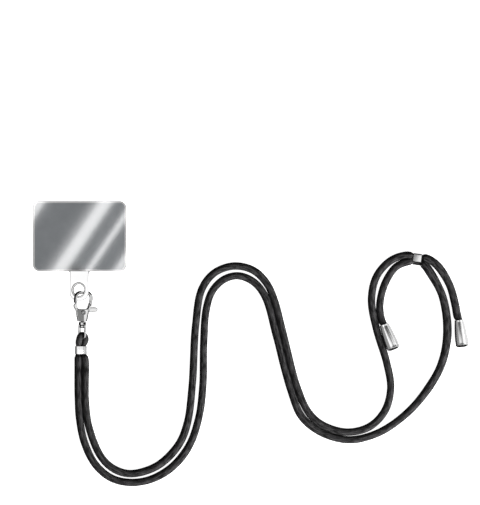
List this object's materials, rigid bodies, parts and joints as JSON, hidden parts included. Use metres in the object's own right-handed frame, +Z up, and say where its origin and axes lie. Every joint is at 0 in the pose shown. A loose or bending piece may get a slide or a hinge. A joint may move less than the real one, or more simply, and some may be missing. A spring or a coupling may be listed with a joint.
{
  "type": "phone crossbody strap",
  "caption": "Long braided cord doubled through a swivel clasp, with an adjuster band, tails in metal end caps, and a clear tether card hooked on by its eyelet",
  "frame": {"origin": "Middle of the tether card's underside, on the plane that the whole strap lies on", "axes": "+Y runs from the card's tab to its far edge, so the clasp and cord are toward -Y; +X is to the right across the strap as it is seen from above; +Z is up"},
  "size_m": [0.2807, 0.1833, 0.0087],
  "materials": {
    "card_clear": "clear",
    "eyelet_metal": "polished",
    "clasp_metal": "polished",
    "rivet_metal": "polished",
    "band_metal": "brushed",
    "cap_metal": "satin",
    "cord_braid": "woven"
  },
  "bodies": {
    "strap": {"swivel_eye": "clasp_metal", "cord_bight": "cord_braid", "cord_band": "band_metal", "cord_left": "cord_braid", "cord_right": "cord_braid", "adjuster_band": "band_metal", "end_cap_left": "cap_metal", "end_cap_right": "cap_metal"},
    "clasp": {"clasp_hook": "clasp_metal", "gate_rivet": "rivet_metal", "card": "card_clear", "eyelet": "eyelet_metal"},
    "gate": {"gate": "clasp_metal"}
  },
  "joints": [
    {"name": "swivel", "type": "hinge", "parent": "strap", "child": "clasp", "pos_m": [0.0019, -0.056, 0.0042], "axis": [0, 1, 0], "continuous": true},
    {"name": "gate_hinge", "type": "hinge", "parent": "clasp", "child": "gate", "pos_m": [0.0019, -0.0491, 0.0042], "axis": [-0.342, 0, -0.9397], "range_deg": [0, 25], "stiffness_Nm_per_rad": 0.01, "springref_deg": -20.05}
  ]
}
